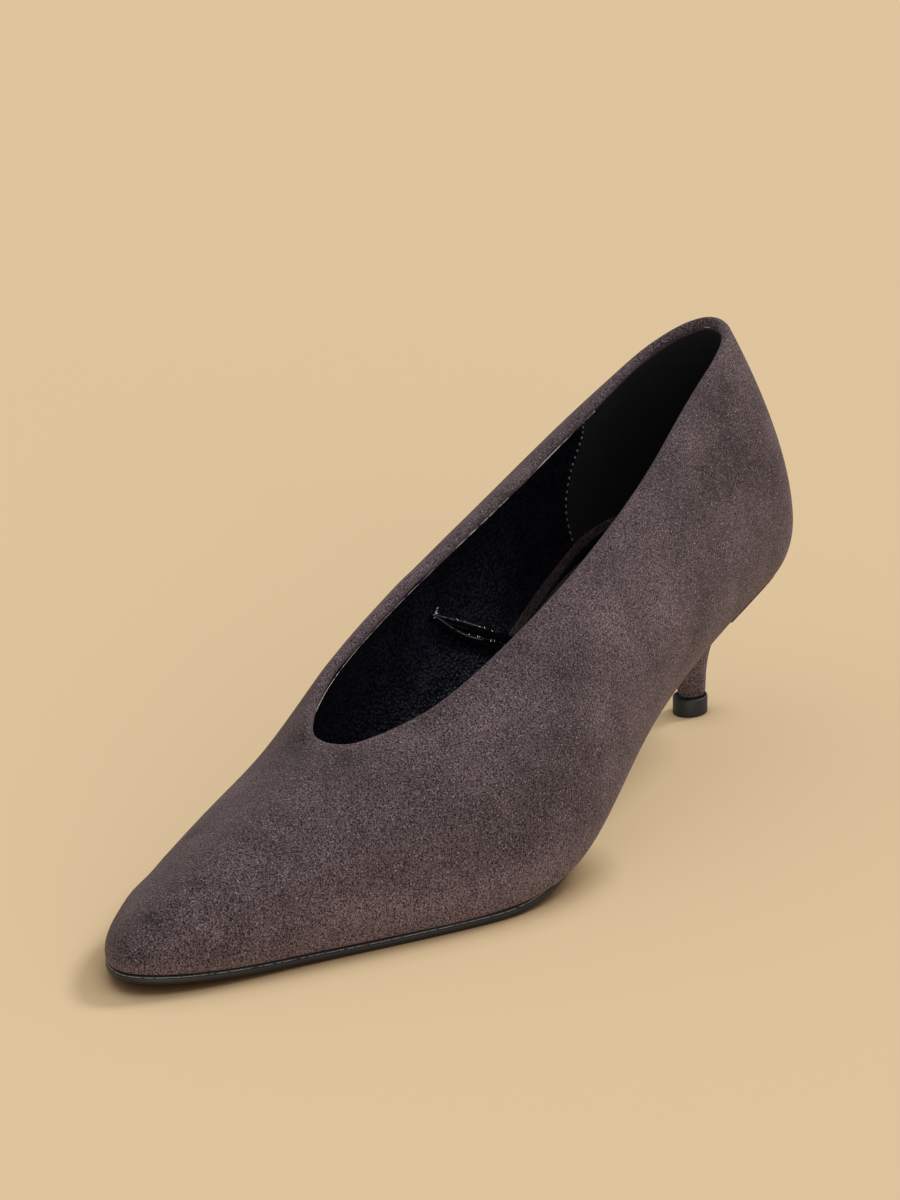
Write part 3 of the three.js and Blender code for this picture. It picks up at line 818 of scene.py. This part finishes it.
def plate(rings):
    """Closed plate from rings that run from its upper edge down its side to its lower edge"""
    stack = np.stack(rings)
    faces = grid_faces(stack.shape[0], stack.shape[1], False, True)[:, ::-1].tolist()
    faces += cover_ring(rings[0], 0, True)
    faces += cover_ring(rings[-1], (len(rings) - 1) * len(rings[0]), False)
    return stack.reshape(-1, 3), faces


def make_footbed(material):
    around = wall_rounds(FOOTBED_ROUNDS)
    edge = UPPER_WALL + SEAM_GAP
    top = SEAM_GAP + INSOLE_THICKNESS
    rings = []
    for inset in np.linspace(FOOTBED_CROWN_REACH, 1.6, 12):
        fall = FOOTBED_CROWN * (inset / FOOTBED_CROWN_REACH) ** 2
        rings.append(foot_ring(around, edge + inset, top - fall))
    for inset, drop in rounded_edge(FOOTBED_EDGE_ROUND, 5, 0.1):
        rings.append(foot_ring(around, edge + inset, top - drop))
    rings.append(foot_ring(around, edge, SEAM_GAP))
    points, faces = plate(rings)
    piece = add_object("footbed", points, faces, material)
    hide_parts("insole")


def make_sock(material):
    """The black sock that covers the footbed but for its suede edge"""
    around = wall_rounds(FOOTBED_ROUNDS)
    edge = UPPER_WALL + SEAM_GAP + SOCK_INSET
    low = SEAM_GAP + INSOLE_THICKNESS - FOOTBED_CROWN + 0.02
    high = low + SOCK_THICKNESS
    rings = []
    for inset in np.linspace(12, 0.5, 10):
        rise = 0.45 * (1 - (inset / 12) ** 2)
        rings.append(foot_ring(around, edge + inset, high - 0.4 + rise))
    for inset, height in ((0.15, high - 0.04), (0, high - 0.25), (0, low - 0.6)):
        rings.append(foot_ring(around, edge + inset, height))
    points, faces = plate(rings)
    piece = add_object("footbed_sock", points, faces, material)
    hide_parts("insole")


def cut_ring(guide, ring, line, keeps_front):
    """Cuts a ring at a line across the shoe, at the places where its guide ring is cut"""
    inside = (-guide[:, 1] > line) == keeps_front
    kept = []
    for i in range(len(guide)):
        j = (i + 1) % len(guide)
        if inside[i]:
            kept.append(ring[i].copy())
        if inside[i] != inside[j]:
            share = (-line - guide[i, 1]) / (guide[j, 1] - guide[i, 1])
            end = ring[i] * (1 - share) + ring[j] * share
            end[1] = -line
            kept.append(end)
    return np.array(kept)


def make_outsole(material):
    around = wall_rounds(SOLE_ROUNDS)
    line = HEEL_BREAST_ALONG + HEEL_BREAST_ROUND + SEAM_GAP
    outline = foot_ring(around, 0, 0)
    rings = []
    for inset, drop in OUTSOLE_SIDE:
        ring = foot_ring(around, inset, 0, SOLE_WAIST_INSET)
        cut = cut_ring(outline, ring, line, True)
        cut[:, 2] = sole_top(-cut[:, 1]) - drop
        rings.append(cut)
    points, faces = plate(rings)
    piece = add_object("rubber_outsole", points, faces, material)
    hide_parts("outsole")


def make_painted_sole_glints(material):
    """A thin tube along the upper edge of the sole whose pale stretches are a painted line of highlights
    """
    around = np.linspace(0.235, 0.765, 1100)
    ring = foot_ring(around, 0.22, -0.34, SOLE_WAIST_INSET)
    points, faces = tube(ring, np.full(len(around), 0.12), 6)
    piece = add_object("painted_sole_glints", points, faces, material)
    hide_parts("outsole")


def seat_outline():
    """Outline of the heel's seat, round the back and across the breast"""
    ring = foot_ring(wall_rounds(SOLE_ROUNDS), 0, 0)
    cut = cut_ring(ring, ring, HEEL_BREAST_ALONG, False)
    before = np.roll(cut[:, 1], 1)
    start = int(np.argmax(cut[:, 1] == before))
    outline = np.roll(cut, -start, 0)
    shares = np.arange(1, BREAST_STEPS)[:, None] / BREAST_STEPS
    breast = outline[-1] * (1 - shares) + outline[0] * shares
    breast[:, 1] -= HEEL_BREAST_ROUND * np.sin(math.pi * shares[:, 0])
    return np.concatenate([outline, breast])


def heel_ring(outline, row, inset, height):
    """The seat's outline narrowed to a row of the heel, at given heights"""
    seat_back = -outline[:, 1].max()
    seat_length = HEEL_BREAST_ALONG - seat_back
    seat_half = outline[:, 0].max()
    back = seat_back + row[0] * seat_length + inset
    front = seat_back + row[1] * seat_length - inset
    narrow = row[2] - inset / seat_half
    share = (-outline[:, 1] - seat_back) / seat_length
    angle = np.arctan2(outline[:, 0] / seat_half, 2 * share - 1)
    oval_along = (back + front + np.cos(angle) * (front - back)) / 2
    side = outline[:, 0] * narrow * (1 - row[3]) + np.sin(angle) * narrow * seat_half * row[3]
    along = (back + share * (front - back)) * (1 - row[3]) + oval_along * row[3]
    return np.stack([side, -along, np.broadcast_to(height, side.shape)], 1)


def make_heel(material):
    outline = seat_outline()
    foot = TOP_PIECE_THICKNESS + SEAM_GAP
    columns = [calm_curve(HEEL_ROWS[:, 0], HEEL_ROWS[:, i]) for i in (1, 2, 3, 4)]
    tops = sole_top(-outline[:, 1])
    rings = []
    for inset, drop in rounded_edge(SEAT_EDGE_ROUND, 5):
        rings.append(heel_ring(outline, (0, 1, 1, 0), inset + SEAT_INSET, tops - drop))
    for drop in np.linspace(0.03, 0.985, 60):
        row = [float(column(drop)) for column in columns]
        inset = SEAT_INSET * (1 - float(smoothstep(drop, 0, 0.25)))
        rings.append(heel_ring(outline, row, inset, tops * (1 - drop) + foot * drop))
    row = [float(column(1.0)) for column in columns]
    rings.append(heel_ring(outline, row, 0.25, foot))
    points, faces = plate(rings)
    piece = add_object("covered_heel", points, faces, material)
    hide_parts("heel")


def make_top_piece(material):
    outline = seat_outline()
    edge = rounded_edge(TOP_PIECE_EDGE_ROUND, 4)
    levels = [(inset, TOP_PIECE_THICKNESS - drop) for inset, drop in edge] + edge[::-1]
    rings = [heel_ring(outline, TOP_PIECE_ROW, inset, height) for inset, height in levels]
    points, faces = plate(rings)
    piece = add_object("rubber_top_piece", points, faces, material)
    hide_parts("top_piece")


# Materials

def linear(red, green, blue):
    """Colour for a socket from values of 0 to 255 as they show on a screen"""
    shown = np.array([red, green, blue]) / 255
    value = np.where(shown <= 0.04045, shown / 12.92, ((shown + 0.055) / 1.055) ** 2.4)
    return (*value.tolist(), 1)


class Nodes:
    """Short ways to add and join the nodes of one material"""

    def __init__(self, name):
        self.material = bpy.data.materials.new(name)
        self.material.use_nodes = True
        self.tree = self.material.node_tree
        self.shader = self.tree.nodes["Principled BSDF"]
        self.place = self.add("ShaderNodeTexCoord").outputs["Object"]

    def add(self, kind, **settings):
        node = self.tree.nodes.new(kind)
        for key, value in settings.items():
            setattr(node, key, value)
        return node

    def join(self, output, socket):
        self.tree.links.new(output, socket)

    def give(self, name, value):
        """Sets a socket of the shader to a plain value, or joins a node's output to it"""
        socket = self.shader.inputs[name]
        if isinstance(value, bpy.types.NodeSocket):
            self.join(value, socket)
        else:
            socket.default_value = value

    def pattern(self, kind, size, stretch=(1, 1, 1), **settings):
        """A texture node whose spots or cells are about size millimetres wide"""
        mapping = self.add("ShaderNodeMapping")
        mapping.inputs["Scale"].default_value = [share / (size * MM) for share in stretch]
        self.join(self.place, mapping.inputs["Vector"])
        node = self.add(kind, **settings)
        node.inputs["Scale"].default_value = 1
        self.join(mapping.outputs["Vector"], node.inputs["Vector"])
        return node

    def noise(self, size, detail=2, roughness=0.5, stretch=(1, 1, 1)):
        node = self.pattern("ShaderNodeTexNoise", size, stretch)
        node.inputs["Detail"].default_value = detail
        node.inputs["Roughness"].default_value = roughness
        return node.outputs["Fac"]

    def cells(self, size):
        """Distance to the middle of the nearest cell"""
        node = self.pattern("ShaderNodeTexVoronoi", size, feature="SMOOTH_F1")
        node.inputs["Smoothness"].default_value = 0.15
        return node.outputs["Distance"]

    def span(self, value, low, high, to_low=0.0, to_high=1.0):
        node = self.add("ShaderNodeMapRange")
        node.inputs["From Min"].default_value = low
        node.inputs["From Max"].default_value = high
        node.inputs["To Min"].default_value = to_low
        node.inputs["To Max"].default_value = to_high
        self.join(value, node.inputs["Value"])
        return node.outputs["Result"]

    def mix(self, share, first, second):
        node = self.add("ShaderNodeMix", data_type="RGBA")
        for value, socket in ((share, 0), (first, 6), (second, 7)):
            if isinstance(value, bpy.types.NodeSocket):
                self.join(value, node.inputs[socket])
            else:
                node.inputs[socket].default_value = value
        return node.outputs[2]

    def scale(self, colour, factor):
        node = self.add("ShaderNodeVectorMath", operation="SCALE")
        self.join(colour, node.inputs[0])
        self.join(factor, node.inputs["Scale"])
        return node.outputs[0]

    def product(self, first, second):
        node = self.add("ShaderNodeMath", operation="MULTIPLY")
        self.join(first, node.inputs[0])
        self.join(second, node.inputs[1])
        return node.outputs[0]

    def sum(self, first, second, weight):
        """First value plus the second times a weight"""
        node = self.add("ShaderNodeMath", operation="MULTIPLY_ADD")
        self.join(second, node.inputs[0])
        node.inputs[1].default_value = weight
        self.join(first, node.inputs[2])
        return node.outputs[0]

    def bump(self, height, distance, strength=1.0, below=None):
        node = self.add("ShaderNodeBump")
        node.inputs["Distance"].default_value = distance * MM
        node.inputs["Strength"].default_value = strength
        self.join(height, node.inputs["Height"])
        if below is not None:
            self.join(below, node.inputs["Normal"])
        return node.outputs["Normal"]


def suede(name, dark, light, bounce_colour, with_bounce_band):
    """Napped suede with placed and loose patches, and, if asked, painted warm bounce light from the floor
    along the foot
    """
    nodes = Nodes(name)
    patches = nodes.span(nodes.noise(15, 4, 0.55), 0.3, 0.7, 0.12, 0.88)
    brushed = nodes.noise(4.5, 3, 0.6, (1, 0.5, 1))
    tone = nodes.sum(patches, brushed, 0.5)
    tone = nodes.span(tone, 0.25, 1.25, 0.0, 1.0)
    placed = nodes.add("ShaderNodeAttribute", attribute_type="GEOMETRY", attribute_name="tone")
    ragged = nodes.span(nodes.noise(2.6, 4, 0.7), 0.32, 0.68, 0.35, 1.25)
    tone = nodes.sum(tone, nodes.product(placed.outputs["Fac"], ragged), 0.75)
    colour = nodes.mix(nodes.span(tone, -0.15, 1.15), dark, light)
    if with_bounce_band:
        # Painted light: the warm bounce from the floor, painted into the colour along the foot
        wall = nodes.add("ShaderNodeUVMap", uv_map="wall")
        split = nodes.add("ShaderNodeSeparateXYZ")
        nodes.join(wall.outputs["UV"], split.inputs["Vector"])
        bounce_share = nodes.span(split.outputs["Y"], 0.12, 0.0, 0, 0.45)
        colour = nodes.mix(bounce_share, colour, bounce_colour)
    grain = nodes.noise(0.42, 1.5, 0.65)
    coarse = nodes.noise(1.3, 2, 0.6)
    factor = nodes.sum(nodes.span(grain, 0.35, 0.65, 0.0, 1.78), nodes.span(coarse, 0.3, 0.7), 0.14)
    colour = nodes.scale(colour, nodes.span(factor, 0.08, 3, 0.08, 3))
    # Pale specks are painted glints: highlights of the nap painted into the colour
    painted_glint_share = nodes.span(nodes.noise(0.4, 1, 0.5), 0.6, 0.74, 0.0, 0.5)
    colour = nodes.mix(painted_glint_share, colour, linear(182, 168, 170))
    nodes.give("Base Color", colour)
    nodes.give("Roughness", 0.8)
    nodes.give("Specular IOR Level", 0.15)
    nodes.give("Sheen Weight", 0.12)
    nodes.give("Sheen Roughness", 0.5)
    nodes.give("Sheen Tint", linear(225, 196, 194))
    normal = nodes.bump(nodes.noise(5, 2, 0.5), 0.25, 0.5)
    normal = nodes.bump(grain, 0.25, 1.0, normal)
    nodes.give("Normal", normal)
    return nodes.material


def black_leather(name, gloss):
    """Blue-black leather with fine pebbles, painted lighter on their tops as highlights and darker between
    them as shade
    """
    nodes = Nodes(name)
    pebble = nodes.cells(0.8)
    tone = nodes.noise(12, 3, 0.5)
    colour = nodes.mix(tone, linear(19, 19, 29), linear(31, 31, 44))
    # Painted light: pebble tops made lighter as painted highlights, the gaps darker as painted shade
    colour = nodes.scale(colour, nodes.span(pebble, 0.2, 0.6, 1.7, 0.15))
    nodes.give("Specular IOR Level", 0.5)
    nodes.give("Specular Tint", (0.8, 0.85, 1, 1))
    nodes.give("Base Color", colour)
    low, high = gloss
    nodes.give("Roughness", nodes.span(nodes.noise(6, 2, 0.5), 0.3, 0.7, low, high))
    pebbles = nodes.bump(pebble, 0.26, 1.0)
    nodes.give("Normal", nodes.bump(nodes.noise(0.3, 2, 0.6), 0.03, 0.6, pebbles))
    return nodes.material


def fold_leather():
    """Smooth black leather, polished where it is rolled"""
    nodes = Nodes("fold_leather")
    colour = nodes.mix(nodes.noise(3, 2, 0.5), linear(8, 8, 12), linear(18, 18, 24))
    nodes.give("Base Color", colour)
    nodes.give("Roughness", 0.16)
    nodes.give("Specular IOR Level", 1.0)
    nodes.give("Coat Weight", 0.6)
    nodes.give("Coat Roughness", 0.1)
    nodes.give("Normal", nodes.bump(nodes.noise(1.3, 2, 0.5), 0.5, 1.0))
    return nodes.material


def painted_glint_edge(name, dark, highlight_colour, length):
    """Glossy edge whose colour is pale in short stretches: painted highlights"""
    nodes = Nodes(name)
    # Stretches of painted highlight along the edge
    share = nodes.span(nodes.noise(length, 3, 0.7), 0.38, 0.5)
    colour = nodes.mix(share, dark, highlight_colour)
    nodes.give("Base Color", colour)
    nodes.give("Roughness", 0.3)
    return nodes.material


def pale_thread():
    nodes = Nodes("pale_thread")
    colour = nodes.mix(nodes.noise(1.2, 2, 0.5), linear(120, 114, 116), linear(190, 184, 184))
    nodes.give("Base Color", colour)
    nodes.give("Roughness", 0.4)
    return nodes.material


def black_grip():
    nodes = Nodes("grip_suede")
    colour = nodes.mix(nodes.noise(9, 3, 0.55), linear(24, 23, 27), linear(34, 33, 37))
    nodes.give("Base Color", colour)
    nodes.give("Roughness", 0.85)
    nodes.give("Specular IOR Level", 0.3)
    nodes.give("Sheen Weight", 0.04)
    nodes.give("Normal", nodes.bump(nodes.noise(0.35, 2, 0.7), 0.1, 0.8))
    return nodes.material


def black_rubber(name, dark, light, roughness):
    nodes = Nodes(name)
    colour = nodes.mix(nodes.noise(4, 3, 0.6), dark, light)
    nodes.give("Base Color", colour)
    low, high = roughness
    nodes.give("Roughness", nodes.span(nodes.noise(1.5, 3, 0.6), 0.3, 0.7, low, high))
    nodes.give("Normal", nodes.bump(nodes.noise(0.5, 3, 0.6), 0.04, 0.5))
    return nodes.material


# Stage

# The floor's own colour, and the even light that it adds so that shadows stay pale and warm
FLOOR_COLOUR = (0.502, 0.395, 0.262, 1)
FLOOR_GLOW = (0.24, 0.165, 0.085, 1)

# The floor's shade right under the sole, and how far from the sole it reaches in metres
CONTACT_COLOUR = (0.14, 0.062, 0.022, 1)
CONTACT_REACH = 0.012
# Half the floor's width in metres
FLOOR_REACH = 12.0


def make_floor():
    mesh = bpy.data.meshes.new("studio_floor")
    corners = [(x * FLOOR_REACH, y * FLOOR_REACH, 0) for x, y in ((-1, -1), (1, -1), (1, 1), (-1, 1))]
    mesh.from_pydata(corners, [], [(0, 1, 2, 3)])
    floor = bpy.data.objects.new("studio_floor", mesh)
    bpy.context.scene.collection.objects.link(floor)
    nodes = Nodes("studio_floor")
    open_air = nodes.add("ShaderNodeAmbientOcclusion", samples=4)
    open_air.inputs["Distance"].default_value = CONTACT_REACH
    open_share = nodes.span(open_air.outputs["AO"], 0.2, 0.85)
    nodes.give("Base Color", nodes.mix(open_share, CONTACT_COLOUR, FLOOR_COLOUR))
    nodes.give("Emission Color", FLOOR_GLOW)
    nodes.give("Emission Strength", open_share)
    nodes.give("Roughness", 1.0)
    nodes.give("Specular IOR Level", 0.0)
    mesh.materials.append(nodes.material)


def towards(azimuth, elevation):
    """Direction from angles in degrees: azimuth, round from the toe's end, and elevation"""
    azimuth = math.radians(azimuth)
    elevation = math.radians(elevation)
    return Vector((math.sin(azimuth) * math.cos(elevation),
                   -math.cos(azimuth) * math.cos(elevation), math.sin(elevation)))


def add_sun(name, direction, strength, softness, colour):
    light = bpy.data.lights.new(name, "SUN")
    light.energy = strength
    light.angle = math.radians(softness)
    light.color = colour
    lamp = bpy.data.objects.new(name, light)
    lamp.rotation_euler = towards(*direction).to_track_quat("Z", "Y").to_euler()
    bpy.context.scene.collection.objects.link(lamp)


def light_studio():
    scene = bpy.context.scene
    world = bpy.data.worlds.new("studio")
    world.use_nodes = True
    background = world.node_tree.nodes["Background"]
    background.inputs["Color"].default_value = (1, 1, 1, 1)
    background.inputs["Strength"].default_value = 0.53
    scene.world = world
    add_sun("key", (160, 45), 1.7, 14, (1, 0.99, 0.97))
    add_sun("fill", (50, 14), 0.95, 40, (1, 1, 1))
    scene.view_settings.view_transform = "Standard"
    scene.view_settings.look = "None"
    scene.view_settings.exposure = 0
    scene.view_settings.gamma = 1


# The camera that fits the photo: angles in degrees, lengths in millimetres,
# places in the picture in pixels of the 900 by 1200 frame
CAMERA_AZIMUTH = 34.41
CAMERA_ELEVATION = 19.44
CAMERA_ROLL = -0.81
CAMERA_DISTANCE = 1262.6
CAMERA_PIXELS_PER_MM = 4.04
AIM = (0.68, -0.51, 40)
AIM_PIXEL = (472.9, 684.5)
FRAME_PIXELS = (900, 1200)
SENSOR = 36


def make_camera():
    back = towards(CAMERA_AZIMUTH, CAMERA_ELEVATION)
    right = (-back).cross(Vector((0, 0, 1))).normalized()
    up = back.cross(right)
    roll = math.radians(CAMERA_ROLL)
    rolled_right = right * math.cos(roll) + up * math.sin(roll)
    rolled_up = up * math.cos(roll) - right * math.sin(roll)
    offset_right = (AIM_PIXEL[0] - FRAME_PIXELS[0] / 2) / CAMERA_PIXELS_PER_MM
    offset_up = (FRAME_PIXELS[1] / 2 - AIM_PIXEL[1]) / CAMERA_PIXELS_PER_MM
    place = Vector(AIM) + back * CAMERA_DISTANCE
    place -= rolled_right * offset_right + rolled_up * offset_up
    camera = bpy.data.cameras.new("photo_camera")
    camera.sensor_fit = "VERTICAL"
    camera.sensor_height = SENSOR
    camera.lens = SENSOR * CAMERA_PIXELS_PER_MM * CAMERA_DISTANCE / FRAME_PIXELS[1]
    camera.clip_end = 100
    eye = bpy.data.objects.new("photo_camera", camera)
    turn = Matrix((rolled_right, rolled_up, back)).transposed().to_4x4()
    eye.matrix_world = Matrix.Translation(place * MM) @ turn
    bpy.context.scene.collection.objects.link(eye)
    bpy.context.scene.camera = eye


def make_shoe():
    # Colour of the painted floor bounce along the foot of the suede
    bounce_colour = linear(104, 84, 82)
    make_suede_upper(suede("upper_suede", linear(53, 42, 45), linear(95, 80, 84), bounce_colour, True))
    leather = black_leather("lining_leather", (0.34, 0.46))
    make_leather_lining(leather)
    make_heel_grip(black_grip())
    make_seam_stitches(pale_thread())
    # The rim's leather edge, with painted highlights
    make_rim_bead(painted_glint_edge("rim_bead", linear(60, 56, 56), linear(225, 218, 208), 2.6))
    make_lining_fold(fold_leather())
    # Painted highlights along the fold's edges
    make_fold_edges(painted_glint_edge("fold_edges", linear(26, 26, 30), linear(120, 118, 124), 1.6))
    make_fold_stitches(pale_thread())
    make_footbed(suede("footbed_suede", linear(60, 46, 44), linear(88, 70, 66), bounce_colour, False))
    make_heel_binding(suede("binding_suede", linear(66, 52, 52), linear(92, 76, 76), bounce_colour, False), leather)
    make_sock(leather)
    make_outsole(black_rubber("sole_rubber", linear(13, 13, 14), linear(22, 22, 24), (0.4, 0.55)))
    # Painted highlights along the sole's upper edge
    make_painted_sole_glints(painted_glint_edge("painted_sole_glints", linear(14, 13, 14), linear(136, 126, 120), 1.0))
    make_heel(suede("heel_suede", linear(53, 42, 45), linear(94, 79, 83), bounce_colour, False))
    tip = black_rubber("top_piece_rubber", linear(17, 19, 21), linear(28, 30, 33), (0.5, 0.65))
    make_top_piece(tip)


make_shoe()
make_floor()
light_studio()
make_camera()
